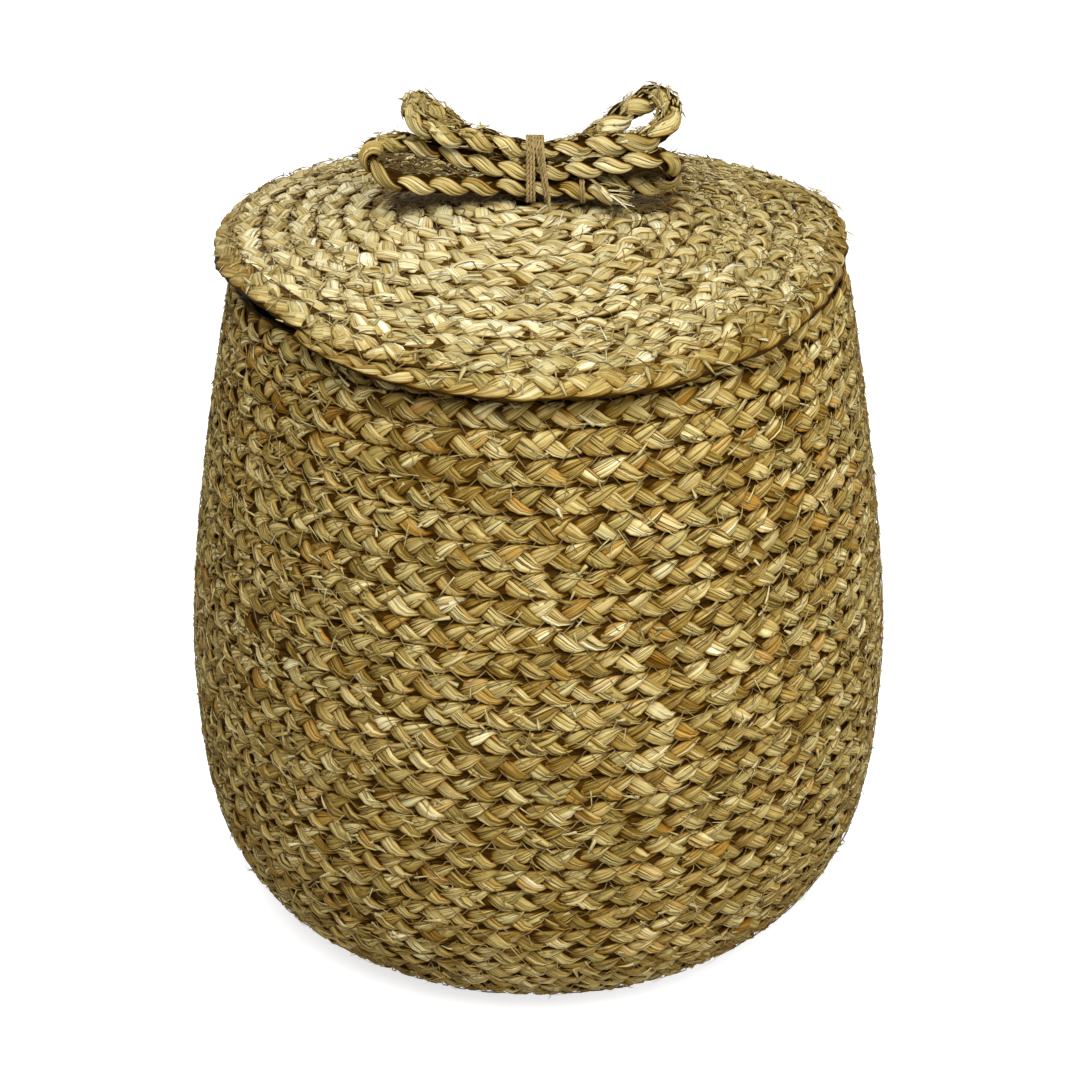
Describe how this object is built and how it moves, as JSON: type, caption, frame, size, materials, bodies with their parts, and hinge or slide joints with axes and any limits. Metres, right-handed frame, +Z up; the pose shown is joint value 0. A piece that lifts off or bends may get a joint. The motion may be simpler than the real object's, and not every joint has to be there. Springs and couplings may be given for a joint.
{
  "type": "lidded coiled basket",
  "caption": "Barrel-shaped basket of plaited seagrass rows sewn edge to edge, with a shallow lift-off lid and a plaited bow handle bound with twine.",
  "frame": {"origin": "middle of the floor's underside, on the surface that the basket stands on", "axes": "+Z up through the mouth, -Y towards the pictured front, +X to the right in the picture"},
  "size_m": [0.36, 0.36, 0.4328],
  "materials": {
    "seagrass_basket": "dry matt plaited seagrass, straw to olive brown",
    "seagrass_lid": "dry matt plaited seagrass, paler straw",
    "seagrass_bow": "dry matt plaited seagrass",
    "jute_twine": "hairy brown jute"
  },
  "bodies": {
    "basket": {"base_coil": "seagrass_basket", "wall_coil": "seagrass_basket", "rim_row": "seagrass_basket"},
    "lid": {"lid_coil": "seagrass_lid", "lid_lip_row": "seagrass_lid", "bow_rope": "seagrass_bow", "bow_binding": "jute_twine", "tail_tie": "jute_twine", "binding_knot_1": "jute_twine", "binding_knot_2": "jute_twine"}
  },
  "joints": [
    {"name": "lid_lift", "type": "slide", "parent": "basket", "child": "lid", "axis": [0, 0, 1], "range_m": [0, 0.15]}
  ]
}
